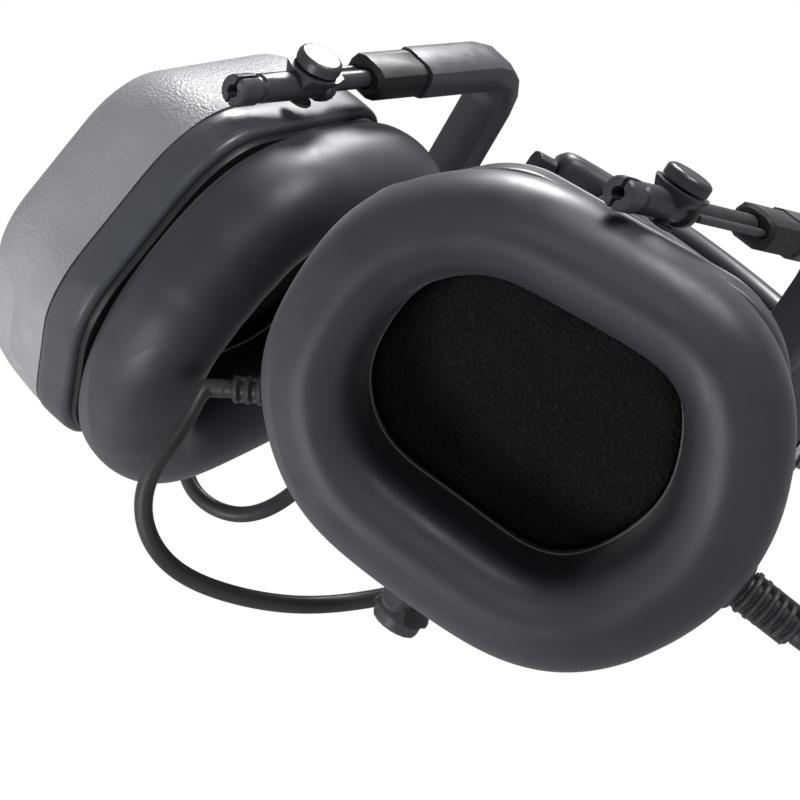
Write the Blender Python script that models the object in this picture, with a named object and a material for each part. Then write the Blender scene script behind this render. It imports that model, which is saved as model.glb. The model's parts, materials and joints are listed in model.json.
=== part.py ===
"""Radio headphones: two deep ear cups on rod arms under a padded spring-steel headband.

The headset lies on its side. X runs from the left cup to the right cup, Y runs up to the
crown and Z runs from the rear pivots to the front pivots. The origin is the middle of the
flat top of the crown cover. The right cup is turned over on its pivots, so its ear cushion
faces away from the headband. The springy left half of the band lies twisted, so the left arms
and cup lean back a little, with the arms slid in.
"""
import math

import bmesh
import bpy
from mathutils import Matrix, Vector

MM = 0.001

# Headset layout (millimetres)
PIVOT_SPACING = 96.0
PIVOT_DROP = 168.0
RIGHT_CUP_TURN = math.radians(116.0)
LEFT_CUP_TURN = math.radians(8.0)
LEFT_BAND_TWIST = (math.radians(14.0), math.radians(5.0), 0.0)
LEFT_ARM_IN = 20.0

# Ear cup outline: cup-up coordinate and half width of each corner, before rounding
CUP_TOP = 53.8
CUP_TOP_HALF = 19.0
CUP_SHOULDER = 31.0
CUP_SHOULDER_HALF = 41.8
CUP_CHIN = -35.0
CUP_CHIN_HALF = 45.8
CUP_TIP = -57.5
CUSHION_CORNER_RADII = (14.0, 22.0, 32.0, 40.0)
ARC_STEPS = 3
MIN_CORNER_RADIUS = 7.0
CUSHION_LIFT = 0.06
# The tapering shell and trim keep crisper lower corners than the soft cushion
SHELL_CORNER_RADII = (14.0, 22.0, 26.0, 26.0)
GAP = 0.3

# Cup depths, measured from the pivot axis towards the ear
TRIM_BACK = -4.5
TRIM_FRONT = 4.5
PLATE_BACK = 4.8
PLATE_FRONT = 6.2
CUSHION_BACK = 6.5
CUSHION_FACE = 30.6
SHELL_END = -27.0
WALL = 2.4
TRIM_INSET = 1.0
TRIM_WALL = 4.5
OUTER_PLATE_THICK = 1.6
SPEAKER_HOLE_RADIUS = 22.0

# Pivots and arms
ARM_HEIGHT = 49.6
BARREL_RADIUS = 3.3
COLLET_RADIUS = 3.6
COLLAR_RADIUS = 4.2
ROD_RADIUS = 2.2
WIRE_RADIUS = 1.0
WIRE_OFFSET = 3.5
COLLET_LOW = -25.0
PLAIN_END_LOW = -8.0
ARM_TOP = 62.0
PIN_RADIUS = 1.8
CAP_RADIUS = 5.3
CAP_TOP = 57.4
CAP_THICK = 3.0
SLEEVE_LOW = 40.0
SLEEVE_TOP = 57.6
YOKE_LOW = 57.9
YOKE_TOP = 96.0
YOKE_BEND = 12.0
YOKE_BORE_TOP = 87.0

# Headband
BAND_RADIUS = 62.0
STRIP_WIDTH = 14.0
STRIP_THICK = 1.6
FLEX_ANGLE = math.radians(58.0)
COVER_ANGLE = math.radians(50.0)
CLIP_ANGLE = math.radians(56.0)
STRIP_END_ANGLE = math.radians(80.0)
STRIP_GAP_ANGLE = 0.035
COVER_WIDTH = 40.0
COVER_THICK = 9.0
COVER_STEPS = 11
# The cover's middle facet is the flat crown face, and it lies at Y = 0
BAND_CENTRE_Y = -(BAND_RADIUS + COVER_THICK / 2) * math.cos(COVER_ANGLE / COVER_STEPS)

# Controls on the outer plates
KNOB_UP = -14.0
BUTTON_UP = 12.0
BUTTON_TRAVEL = 1.2
BATTERY_CAP_UP = -4.0

# Cables
LINK_RADIUS = 2.0
LEAD_RADIUS = 2.3
LINK_BOOT_ROOT = (-12.0, 46.2, -31.0)
LINK_BOOT_DIRECTION = (0.0, 0.86, -0.51)
LINK_BOOT_LENGTH = 14.0
LEAD_BOOT_ROOT = (-12.0, -55.0, -12.0)
LEAD_BOOT_DIRECTION = (0.0, -1.0, -0.09)
LEAD_BOOT_LENGTH = 21.0

# Slack loops of the link cables, relative to each pivot, ending beside the rear yoke prong
RIGHT_LINK_POINTS = ((-54.0, -24.0, -47.0), (-55.0, -27.0, -57.0), (-52.0, -25.0, -68.0),
                     (-44.0, -19.0, -75.0), (-36.0, -8.0, -76.0), (-26.0, 7.0, -73.0), (-22.0, 26.0, -69.0),
                     (-12.0, 34.0, -57.0), (-12.5, 54.0, -52.0), (-11.5, 65.5, -50.0), (-6.4, 68.0, -49.6))
LEFT_LINK_POINTS = ((-17.0, 56.0, -52.0), (-10.0, 44.0, -63.0), (-2.0, 34.0, -72.0), (9.0, 31.0, -75.0),
                    (21.0, 34.0, -72.0), (26.0, 40.0, -64.0), (24.0, 52.0, -56.0), (14.5, 60.5, -50.5), (6.2, 62.0, -49.6))
LINK_LEAD_IN = (1.2, 4.5)


def clear_scene():
    for obj in list(bpy.data.objects):
        bpy.data.objects.remove(obj, do_unlink=True)


def make_material(name, colour, roughness, metallic=0.0):
    material = bpy.data.materials.new(name)
    material.use_nodes = True
    shader = material.node_tree.nodes["Principled BSDF"]
    shader.inputs["Base Color"].default_value = (*colour, 1.0)
    shader.inputs["Roughness"].default_value = roughness
    shader.inputs["Metallic"].default_value = metallic
    return material


def add_object(name, mesh_data, material, parent=None, matrix=None):
    """Make one named object from a bmesh whose coordinates are millimetres."""
    bmesh.ops.scale(mesh_data, vec=Vector((MM, MM, MM)), verts=mesh_data.verts)
    bmesh.ops.recalc_face_normals(mesh_data, faces=mesh_data.faces)
    mesh = bpy.data.meshes.new(name)
    mesh_data.to_mesh(mesh)
    mesh_data.free()
    mesh.shade_smooth()
    mesh.set_sharp_from_angle(angle=math.radians(35.0))
    mesh.materials.append(material)
    obj = bpy.data.objects.new(name, mesh)
    bpy.context.scene.collection.objects.link(obj)
    obj.parent = parent
    if matrix is not None:
        obj.matrix_local = matrix
    return obj


def add_empty(name, location, rotation=(0.0, 0.0, 0.0), parent=None):
    empty = bpy.data.objects.new(name, None)
    bpy.context.scene.collection.objects.link(empty)
    empty.parent = parent
    empty.location = Vector(location) * MM
    empty.rotation_euler = rotation
    return empty


def combine(target, other, operation):
    """Boolean the other object into the target; the other object becomes a hidden cutter."""
    other.hide_render = True
    other.display_type = "WIRE"
    modifier = target.modifiers.new(operation.lower(), "BOOLEAN")
    modifier.operation = operation
    modifier.solver = "EXACT"
    modifier.object = other


def loft(rings, closed=False):
    """Join rings of equal length into one closed surface, capped unless it closes on itself."""
    data = bmesh.new()
    verts = [[data.verts.new(point) for point in ring] for ring in rings]
    count = len(verts[0])
    pairs = list(zip(verts, verts[1:]))
    if closed:
        pairs.append((verts[-1], verts[0]))
    for low, high in pairs:
        for i in range(count):
            j = (i + 1) % count
            data.faces.new((low[i], low[j], high[j], high[i]))
    if not closed:
        data.faces.new(verts[0])
        data.faces.new(verts[-1])
    return data


def circle(radius, steps=16):
    angles = [2.0 * math.pi * i / steps for i in range(steps)]
    return [(radius * math.cos(a), radius * math.sin(a)) for a in angles]


def turned(profile, steps=16, closed=False):
    """Turn a profile of (radius, height) pairs about the local Z axis."""
    rings = [[Vector((x, y, height)) for x, y in circle(radius, steps)] for radius, height in profile]
    return loft(rings, closed)


def box(centre, size):
    data = bmesh.new()
    bmesh.ops.create_cube(data, size=1.0)
    bmesh.ops.scale(data, vec=Vector(size), verts=data.verts)
    bmesh.ops.translate(data, vec=Vector(centre), verts=data.verts)
    return data


def rounded_rectangle(width, height, radius, steps=3):
    corners = []
    for sign_x, sign_y, start in ((1, 1, 0), (-1, 1, 90), (-1, -1, 180), (1, -1, 270)):
        for i in range(steps + 1):
            angle = math.radians(start + 90.0 * i / steps)
            x = sign_x * (width / 2 - radius) + radius * math.cos(angle)
            y = sign_y * (height / 2 - radius) + radius * math.sin(angle)
            corners.append((x, y))
    return corners


def smooth_path(points, steps=6):
    """Points along a Catmull-Rom curve through the given points."""
    points = [Vector(p) for p in points]
    points = [2 * points[0] - points[1]] + points + [2 * points[-1] - points[-2]]
    path = []
    for p0, p1, p2, p3 in zip(points, points[1:], points[2:], points[3:]):
        for i in range(steps):
            t = i / steps
            path.append(0.5 * (2 * p1 + (p2 - p0) * t + (2 * p0 - 5 * p1 + 4 * p2 - p3) * t * t
                               + (3 * p1 - p0 - 3 * p2 + p3) * t ** 3))
    path.append(points[-2])
    return path


def sweep_rings(path, section, side):
    """Place a flat section square to the path; side is the section's second axis at the start."""
    rings = []
    side = Vector(side)
    for i, point in enumerate(path):
        ahead = path[min(i + 1, len(path) - 1)]
        behind = path[max(i - 1, 0)]
        tangent = (ahead - behind).normalized()
        side = (side - tangent * side.dot(tangent)).normalized()
        across = tangent.cross(side)
        rings.append([point + across * x + side * y for x, y in section])
    return rings


# ---------------------------------------------------------------- ear cup outline


def inset_corners(corners, inset):
    """Move every side of a counter-clockwise polygon inward and return its new corners."""
    count = len(corners)
    lines = []
    for i in range(count):
        start = Vector(corners[i])
        along = (Vector(corners[(i + 1) % count]) - start).normalized()
        inward = Vector((-along.y, along.x))
        lines.append((start + inward * inset, along))
    moved = []
    for i in range(count):
        point_a, along_a = lines[i - 1]
        point_b, along_b = lines[i]
        cross = along_a.x * along_b.y - along_a.y * along_b.x
        offset = point_b - point_a
        t = (offset.x * along_b.y - offset.y * along_b.x) / cross
        moved.append(point_a + along_a * t)
    return moved


def round_corners(corners, radii, steps=ARC_STEPS):
    """Replace each corner of a counter-clockwise polygon with an arc."""
    outline = []
    count = len(corners)
    for i in range(count):
        corner = corners[i]
        before = (corners[i - 1] - corner).normalized()
        after = (corners[(i + 1) % count] - corner).normalized()
        half = before.angle(after) / 2
        reach = radii[i] / math.sin(half)
        centre = corner + (before + after).normalized() * reach
        tangent_length = radii[i] / math.tan(half)
        first = corner + before * tangent_length - centre
        last = corner + after * tangent_length - centre
        sweep = math.pi - 2 * half
        for k in range(steps + 1):
            angle = sweep * k / steps
            point = Vector((first.x * math.cos(angle) - first.y * math.sin(angle),
                            first.x * math.sin(angle) + first.y * math.cos(angle)))
            outline.append(centre + point)
        outline[-1] = centre + last
    return outline


def cup_outline(inset, corner_radii=SHELL_CORNER_RADII):
    """Rounded outline of the cup as (front coordinate, cup-up coordinate) points."""
    half = ((CUP_TOP_HALF, CUP_TOP), (-CUP_TOP_HALF, CUP_TOP), (-CUP_SHOULDER_HALF, CUP_SHOULDER),
            (-CUP_CHIN_HALF, CUP_CHIN), (0.0, CUP_TIP), (CUP_CHIN_HALF, CUP_CHIN),
            (CUP_SHOULDER_HALF, CUP_SHOULDER))
    top, shoulder, chin, tip = (max(radius - inset, MIN_CORNER_RADIUS) for radius in corner_radii)
    radii = (top, top, shoulder, chin, tip, chin, shoulder)
    return round_corners(inset_corners(half, inset), radii)


class Cup:
    """Local frame of one ear cup: depth towards the ear, cup-up along Y, front along Z."""

    def __init__(self, name, facing, pivot):
        self.name = name
        self.facing = facing
        self.pivot = pivot

    def point(self, depth, up, front):
        return Vector((self.facing * depth, up, front))

    def ring(self, inset, depth, lift=0.0, corner_radii=SHELL_CORNER_RADII):
        return [self.point(depth, up + lift, front) for front, up in cup_outline(inset, corner_radii)]

    def add(self, part, data, material, matrix=None):
        return add_object(f"{self.name}_{part}", data, material, self.pivot, matrix)

    def depth_axis(self, depth, up, front):
        """Matrix that turns local Z towards the ear and moves it to a point of the cup."""
        turn = Matrix.Rotation(self.facing * math.pi / 2, 4, "Y")
        return Matrix.Translation(self.point(depth, up, front) * MM) @ turn


# ---------------------------------------------------------------- ear cup parts


def build_shell(cup, material):
    """Hollow outer shell: tapered walls, rounded outer edge, open towards the ear."""
    outer = ((TRIM_INSET + 0.4, TRIM_BACK - GAP), (TRIM_INSET + 1.2, -12.0), (4.2, -20.0),
             (6.4, -24.5), (8.8, -26.4), (11.5, SHELL_END))
    inner = ((11.5 + WALL, SHELL_END + WALL), (4.2 + WALL, -19.0), (TRIM_INSET + 0.4 + WALL, TRIM_BACK - GAP))
    data = bmesh.new()
    layers = [[data.verts.new(p) for p in cup.ring(inset, depth)] for inset, depth in outer + inner]
    count = len(layers[0])
    outer_count = len(outer)
    for k in range(len(layers)):
        if k == outer_count - 1:
            continue
        low = layers[k]
        high = layers[(k + 1) % len(layers)]
        for i in range(count):
            j = (i + 1) % count
            data.faces.new((low[i], low[j], high[j], high[i]))
    data.faces.new(layers[outer_count - 1])
    data.faces.new(layers[outer_count])
    return cup.add("shell", data, material)


def build_trim_ring(cup, material):
    """Smooth band round the cup that the pivot pins meet."""
    inner = TRIM_INSET + TRIM_WALL
    sections = ((TRIM_INSET + 0.5, TRIM_BACK), (TRIM_INSET, TRIM_BACK + 0.9), (TRIM_INSET, TRIM_FRONT - 1.2),
                (TRIM_INSET + 1.0, TRIM_FRONT), (inner, TRIM_FRONT), (inner, TRIM_BACK))
    return cup.add("trim_ring", loft([cup.ring(i, d) for i, d in sections], closed=True), material)


def build_cushion_plate(cup, material):
    """Thin flange between the trim ring and the ear cushion."""
    sections = ((3.2, PLATE_BACK), (3.2, PLATE_FRONT), (18.5, PLATE_FRONT), (18.5, PLATE_BACK))
    return cup.add("cushion_plate", loft([cup.ring(i, d) for i, d in sections], closed=True), material)


def build_baffle(cup, material):
    """Plate inside the trim ring with a round hole for the loudspeaker."""
    edge = TRIM_INSET + TRIM_WALL + GAP
    hole = aligned_circle(SPEAKER_HOLE_RADIUS, cup_outline(edge))
    hole_back = [cup.point(1.0, up, front) for front, up in hole]
    hole_front = [cup.point(3.0, up, front) for front, up in hole]
    rings = [cup.ring(edge, 1.0), cup.ring(edge, 3.0), hole_front, hole_back]
    return cup.add("baffle", loft(rings, closed=True), material)


def aligned_circle(radius, outline):
    """Points on a circle in the directions of an outline's points."""
    return [Vector(point).normalized() * radius for point in outline]


def build_cushion(cup, material):
    """Puffed ear cushion ring with an open middle."""
    profile = ((4.0, CUSHION_BACK), (0.6, 9.0), (-1.2, 14.0), (-1.2, 19.0), (0.4, 24.0), (4.0, 28.2),
               (9.0, CUSHION_FACE), (13.0, 30.2), (17.0, 27.6), (19.6, 23.0), (20.4, 16.0),
               (20.4, CUSHION_BACK))
    rings = [cup.ring(inset, depth, CUSHION_LIFT * inset, CUSHION_CORNER_RADII) for inset, depth in profile]
    return cup.add("cushion", loft(rings, closed=True), material)


def build_foam(cup, material):
    """Acoustic foam pad in front of the loudspeaker."""
    rings = [cup.ring(20.8, 3.3), cup.ring(20.8, 5.6), cup.ring(24.0, 7.2, 0.5)]
    return cup.add("foam", loft(rings), material)


def build_speaker(cup, material):
    """Loudspeaker driver: magnet pot behind a rimmed basket."""
    profile = ((9.0, -10.0), (11.0, -9.0), (11.0, -4.5), (17.0, -1.5), (19.0, -0.5), (19.0, 2.4), (17.0, 2.9))
    return cup.add("speaker", turned(profile, 20), material, cup.depth_axis(0.0, 0.0, 0.0))


def build_outer_plate(cup, material):
    """Smooth plate on the cup's outer end."""
    start = SHELL_END - GAP
    rings = [cup.ring(13.5, start), cup.ring(13.5, start - OUTER_PLATE_THICK + 0.6),
             cup.ring(14.4, start - OUTER_PLATE_THICK)]
    return cup.add("outer_plate", loft(rings), material)


def build_pivot_caps(cup, material):
    """Front and rear pivot pins: disc head, shank through the arm, washer on the trim ring."""
    foot = CUP_SHOULDER_HALF + 3.1
    profile = ((3.0, foot), (3.0, foot + 0.8), (PIN_RADIUS, foot + 0.8), (PIN_RADIUS, CAP_TOP - CAP_THICK),
               (CAP_RADIUS, CAP_TOP - CAP_THICK), (CAP_RADIUS, CAP_TOP - 0.6), (CAP_RADIUS - 0.7, CAP_TOP))
    for place, turn in (("front", 0.0), ("rear", math.pi)):
        cup.add(f"{place}_pivot_cap", turned(profile, 16), material, Matrix.Rotation(turn, 4, "X"))


def ribbed_profile(root, core, rib, first_rib, pitch, ribs, length):
    """Strain relief: a root flange, a row of ribs that shrink, and a plain nose."""
    profile = [(root, 0.0), (root, first_rib - 0.8), (core, first_rib)]
    for i in range(ribs):
        start = first_rib + pitch * i
        shrink = 1.0 - 0.035 * i
        profile += [(rib * shrink, start + 0.25 * pitch), (rib * shrink, start + 0.7 * pitch),
                    (core * shrink, start + 0.95 * pitch)]
    profile.append((core * 0.9, length))
    return profile


def direction_matrix(origin, direction):
    """Matrix that turns local Z along a direction and moves it to an origin in millimetres."""
    turn = Vector(direction).to_track_quat("Z", "Y").to_matrix().to_4x4()
    return Matrix.Translation(Vector(origin) * MM) @ turn


def boot_end(root, direction, length):
    return Vector(root) + Vector(direction).normalized() * length


def build_link_boot(cup, material):
    """Small ribbed strain relief on the rear shoulder of the shell."""
    origin = cup.point(*LINK_BOOT_ROOT)
    direction = cup.point(*LINK_BOOT_DIRECTION)
    profile = ribbed_profile(3.2, 2.2, 2.8, 4.0, 2.4, 3, LINK_BOOT_LENGTH)
    return cup.add("cable_boot", turned(profile, 10), material, direction_matrix(origin, direction))


def build_link_cable(cup, points, material):
    """Slack cable from the cup's boot to the hanger; points are relative to the pivot."""
    origin = cup.point(*LINK_BOOT_ROOT)
    direction = cup.point(*LINK_BOOT_DIRECTION).normalized()
    lead_in = [origin + direction * (LINK_BOOT_LENGTH + reach) for reach in LINK_LEAD_IN]
    path = smooth_path(lead_in + [Vector(p) for p in points], 4)
    data = loft(sweep_rings(path, circle(LINK_RADIUS, 8), (0.0, 0.0, 1.0)))
    return cup.add("link_cable", data, material)


def build_lead(cup, boot_material, cable_material, plug_material, metal):
    """Radio cable: large ribbed boot at the cup's tip, cable, plug body and contact pin."""
    origin = cup.point(*LEAD_BOOT_ROOT)
    direction = cup.point(*LEAD_BOOT_DIRECTION)
    profile = ribbed_profile(6.2, 3.8, 4.85, 3.0, 2.2, 6, LEAD_BOOT_LENGTH)
    cup.add("lead_boot", turned(profile, 12), boot_material, direction_matrix(origin, direction))
    start = boot_end(origin, direction, LEAD_BOOT_LENGTH + GAP)
    ahead = cup.point(-12.0, -100.0, -17.0)
    bends = [cup.point(-6.0, -122.0, -18.0), cup.point(14.0, -136.0, -18.0), cup.point(40.0, -138.0, -18.0),
             cup.point(66.0, -132.0, -18.0)]
    path = smooth_path([start, cup.point(-12.0, -88.0, -15.5), ahead] + bends, 4)
    cup.add("lead_cable", loft(sweep_rings(path, circle(LEAD_RADIUS, 8), (0.0, 0.0, 1.0))), cable_material)
    heading = (path[-1] - path[-2]).normalized()
    plug_start = path[-1] + heading * GAP
    body = ((3.0, 0.0), (3.4, 2.0), (3.4, 4.0), (4.8, 6.5), (5.4, 9.0), (5.4, 27.0), (4.9, 28.5))
    cup.add("plug_body", turned(body, 16), plug_material, direction_matrix(plug_start, heading))
    pin_start = plug_start + heading * (28.5 + GAP)
    pin = ((3.1, 0.0), (3.1, 9.0), (2.7, 9.4), (2.7, 10.2), (3.1, 10.6), (3.1, 15.0), (2.2, 16.6),
           (2.6, 18.4), (1.2, 20.5))
    cup.add("plug_pin", turned(pin, 16), metal, direction_matrix(pin_start, heading))


def build_electronics(cup, board_material):
    """Circuit board inside the cup."""
    return cup.add("circuit_board", box(cup.point(-16.0, 0.0, 0.0), (1.6, 52.0, 44.0)), board_material)


def build_battery(cup, material):
    """Round battery cell on its side inside the cup."""
    profile = ((6.6, -24.0), (7.0, -23.6), (7.0, 24.0), (2.6, 24.0), (2.6, 25.5))
    axis = Matrix.Translation(cup.point(-17.2, -8.0, 0.0) * MM)
    return cup.add("battery", turned(profile, 16), material, axis)


# ---------------------------------------------------------------- arms


def arm_end(place):
    """Turned outline of the arm's free end: a split collet in front, a plain rounded end at the rear."""
    if place == "rear":
        return ((BARREL_RADIUS - 0.8, PLAIN_END_LOW), (BARREL_RADIUS, PLAIN_END_LOW + 0.8))
    return ((COLLET_RADIUS - 0.5, COLLET_LOW), (COLLET_RADIUS, COLLET_LOW + 0.6),
            (COLLET_RADIUS, COLLET_LOW + 6.0), (COLLET_RADIUS - 0.8, COLLET_LOW + 6.6),
            (COLLET_RADIUS - 0.8, COLLET_LOW + 8.0), (BARREL_RADIUS, COLLET_LOW + 8.6))


def build_arm(side, place, out, parent, turn, metal):
    """Arm rod along Y with its end, a barrel at the pivot, a collar and a pivot bracket."""
    along_y = Matrix.Translation(Vector((0.0, 0.0, ARM_HEIGHT)) * MM) @ Matrix.Rotation(-math.pi / 2, 4, "X")
    profile = arm_end(place) + (
        (BARREL_RADIUS, 3.2), (COLLAR_RADIUS, 3.6), (COLLAR_RADIUS, 5.6), (ROD_RADIUS, 6.2),
        (ROD_RADIUS, ARM_TOP - 0.5), (ROD_RADIUS - 0.4, ARM_TOP))
    name = f"{side}_{place}_arm"
    arm = add_object(name, turned(profile, 16), metal, parent, turn @ along_y)
    low = [Vector((x, y, ARM_HEIGHT + 0.5)) for x, y in rounded_rectangle(6.0, 12.0, 2.0, 2)]
    high = [Vector((x, y, CAP_TOP - CAP_THICK - 0.4)) for x, y in rounded_rectangle(11.5, 13.5, 4.5, 2)]
    bracket = add_object(f"{name}_bracket_blank", loft([low, high]), metal, parent, turn)
    combine(arm, bracket, "UNION")
    pin = [(PIN_RADIUS + GAP, ARM_HEIGHT - 6.0), (PIN_RADIUS + GAP, CAP_TOP)]
    combine(arm, add_object(f"{name}_pin_cutter", turned(pin, 16), metal, parent, turn), "DIFFERENCE")
    if place == "front":
        bore = turned([(1.5, COLLET_LOW - 1.0), (1.5, COLLET_LOW + 9.0)], 12)
        combine(arm, add_object(f"{name}_bore_cutter", bore, metal, parent, turn @ along_y), "DIFFERENCE")
        slit = box((0.0, COLLET_LOW + 2.0, ARM_HEIGHT), (0.9, 8.0, 10.0))
        combine(arm, add_object(f"{name}_slit_cutter", slit, metal, parent, turn), "DIFFERENCE")
    wire_x = out * WIRE_OFFSET
    wire = [(WIRE_RADIUS, 6.5), (WIRE_RADIUS, ARM_TOP)]
    place_wire = turn @ Matrix.Translation(Vector((wire_x, 0.0, 0.0)) * MM) @ along_y
    add_object(f"{side}_{place}_guide_wire", turned(wire, 10), metal, parent, place_wire)


def bore_cutters(name, out, low, top, parent, turn, material):
    """Cutter for the two meeting bores that hold the rod and the guide wire."""
    along_y = Matrix.Translation(Vector((0.0, 0.0, ARM_HEIGHT)) * MM) @ Matrix.Rotation(-math.pi / 2, 4, "X")
    rod = turned([(ROD_RADIUS + GAP, low), (ROD_RADIUS + GAP, top)], 16)
    rod_cutter = add_object(f"{name}_rod_cutter", rod, material, parent, turn @ along_y)
    wire_place = turn @ Matrix.Translation(Vector((out * WIRE_OFFSET, 0.0, 0.0)) * MM) @ along_y
    wire = turned([(WIRE_RADIUS + GAP, low), (WIRE_RADIUS + GAP, top + 0.2)], 10)
    wire_cutter = add_object(f"{name}_wire_cutter", wire, material, parent, wire_place)
    return rod_cutter, wire_cutter


def build_sleeve(side, place, out, parent, turn, material):
    """Rounded sleeve block that guides the arm rod below the yoke."""
    shift = 0.6 * out
    sizes = ((9.6, 6.4, SLEEVE_LOW), (11.2, 8.2, SLEEVE_LOW + 1.0), (11.2, 8.2, SLEEVE_TOP - 0.8),
             (10.4, 7.4, SLEEVE_TOP))
    rings = []
    for width, height, level in sizes:
        section = rounded_rectangle(width, height, 3.0, 2)
        rings.append([Vector((x + shift, level, z + ARM_HEIGHT)) for x, z in section])
    name = f"{side}_{place}_sleeve"
    sleeve = add_object(name, loft(rings), material, parent, turn)
    for cutter in bore_cutters(name, out, SLEEVE_LOW - 1.0, SLEEVE_TOP + 1.0, parent, turn, material):
        combine(sleeve, cutter, "DIFFERENCE")


def build_yoke(side, out, parent, material):
    """U-shaped hanger: two prongs over the sleeves, a bridge and a neck up to the band strip."""
    straight = YOKE_TOP - YOKE_BEND
    path = [Vector((0.6 * out, YOKE_LOW, ARM_HEIGHT)), Vector((0.6 * out, straight, ARM_HEIGHT))]
    for i in range(1, 5):
        angle = math.radians(90.0 * i / 4)
        path.append(Vector((0.6 * out, straight + YOKE_BEND * math.sin(angle),
                            ARM_HEIGHT - YOKE_BEND * (1.0 - math.cos(angle)))))
    path += [Vector((p.x, p.y, -p.z)) for p in reversed(path)]
    section = rounded_rectangle(8.6, 12.0, 2.6, 2)
    name = f"{side}_yoke"
    yoke = add_object(name, loft(sweep_rings(path, section, (1.0, 0.0, 0.0))), material, parent)
    neck = add_object(f"{name}_neck_blank", loft(neck_rings(out)), material, parent)
    combine(yoke, neck, "UNION")
    for turn, sign in ((Matrix.Identity(4), 1.0), (Matrix.Rotation(math.pi, 4, "Y"), -1.0)):
        label = f"{name}_front" if sign > 0 else f"{name}_rear"
        for cutter in bore_cutters(label, out * sign, YOKE_LOW - 1.0, YOKE_BORE_TOP, parent, turn, material):
            combine(yoke, cutter, "DIFFERENCE")


def neck_rings(out):
    """Neck plate from the yoke's bridge up along the inside of the band strip."""
    inside = BAND_RADIUS - STRIP_THICK / 2 - GAP - 2.0
    stations = [(0.0, YOKE_TOP - 1.0, 30.0), (1.2, YOKE_TOP + 3.0, 24.0)]
    for degrees, half in ((80.0, 14.0), (76.0, 11.0), (70.0, 9.0), (66.0, 8.0)):
        angle = math.radians(degrees)
        x = inside * math.sin(angle) - PIVOT_SPACING / 2
        y = PIVOT_DROP + BAND_CENTRE_Y + inside * math.cos(angle)
        stations.append((x, y, half))
    rings = []
    for x, y, half in stations:
        section = rounded_rectangle(4.0, 2 * half, 1.6, 2)
        rings.append([Vector((out * (x + a), y, b)) for a, b in section])
    return rings


# ---------------------------------------------------------------- headband


def band_point(angle, radius, front=0.0):
    return Vector((radius * math.sin(angle), radius * math.cos(angle) + BAND_CENTRE_Y, front))


def band_arc(start, end, radius, steps):
    return [band_point(start + (end - start) * i / steps, radius) for i in range(steps + 1)]


def build_crown(strip_metal, cover_material, pad_material, clip_material):
    """Crown strip, its padded cover, the crown cushion below it and the two end clips."""
    strip = rounded_rectangle(STRIP_THICK, STRIP_WIDTH, 0.5, 1)
    arc = band_arc(-FLEX_ANGLE + 0.01, FLEX_ANGLE - 0.01, BAND_RADIUS, 14)
    add_object("crown_strip", loft(sweep_rings(arc, strip, (0.0, 0.0, 1.0))), strip_metal)
    arc = band_arc(-COVER_ANGLE, COVER_ANGLE, BAND_RADIUS, COVER_STEPS)
    outer = sweep_rings(arc, rounded_rectangle(COVER_THICK, COVER_WIDTH, 3.6, 2), (0.0, 0.0, 1.0))
    inner_section = rounded_rectangle(STRIP_THICK + 2 * GAP, STRIP_WIDTH + 2 * GAP, 0.6, 2)
    inner = sweep_rings(arc, inner_section, (0.0, 0.0, 1.0))
    add_object("crown_cover", loft(outer + inner[::-1], closed=True), cover_material)
    pad_radius = BAND_RADIUS - COVER_THICK / 2 - GAP - 3.6
    arc = band_arc(-math.radians(38.0), math.radians(38.0), pad_radius, 9)
    rings = sweep_rings(arc, rounded_rectangle(7.0, 34.0, 3.2, 2), (0.0, 0.0, 1.0))
    add_object("crown_cushion", loft(rings), pad_material)
    for side, sign in (("left", -1.0), ("right", 1.0)):
        arc = band_arc(sign * (COVER_ANGLE + 0.008), sign * (CLIP_ANGLE - 0.01), BAND_RADIUS, 3)
        outer = sweep_rings(arc, rounded_rectangle(7.0, 32.0, 2.4, 2), (0.0, 0.0, 1.0))
        inner = sweep_rings(arc, inner_section, (0.0, 0.0, 1.0))
        add_object(f"{side}_band_clip", loft(outer + inner[::-1], closed=True), clip_material)


def build_side_strip(side, out, parent, strip_metal, screw_metal):
    """Side part of the spring band and the screw that holds it to the yoke's neck."""
    shift = Vector((-out * PIVOT_SPACING / 2, PIVOT_DROP, 0.0))
    arc = [p + shift for p in band_arc(out * (FLEX_ANGLE + STRIP_GAP_ANGLE), out * STRIP_END_ANGLE, BAND_RADIUS, 8)]
    section = rounded_rectangle(STRIP_THICK, STRIP_WIDTH, 0.5, 1)
    add_object(f"{side}_band_strip", loft(sweep_rings(arc, section, (0.0, 0.0, 1.0))), strip_metal, parent)
    angle = out * math.radians(73.0)
    seat = band_point(angle, BAND_RADIUS + STRIP_THICK / 2 + GAP) + shift
    outward = Vector((math.sin(angle), math.cos(angle), 0.0))
    profile = ((3.4, 0.0), (3.4, 0.8), (2.4, 1.7))
    add_object(f"{side}_band_screw", turned(profile, 16), screw_metal, parent, direction_matrix(seat, outward))


# ---------------------------------------------------------------- controls


def build_volume_knob(cup, material):
    """Knurled volume knob on the outer plate."""
    radius = 8.0
    flutes = 18
    rings = []
    for level, scale in ((0.0, 1.0), (7.0, 0.96), (8.0, 0.86)):
        ring = []
        for i in range(2 * flutes):
            angle = math.pi * i / flutes
            reach = radius * scale * (1.0 if i % 2 else 0.94)
            ring.append(Vector((reach * math.cos(angle), reach * math.sin(angle), level)))
        rings.append(ring)
    depth = SHELL_END - OUTER_PLATE_THICK - 2 * GAP
    place = cup.depth_axis(depth, KNOB_UP, 0.0) @ Matrix.Rotation(math.pi, 4, "X")
    return cup.add("volume_knob", loft(rings), material, place)


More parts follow.
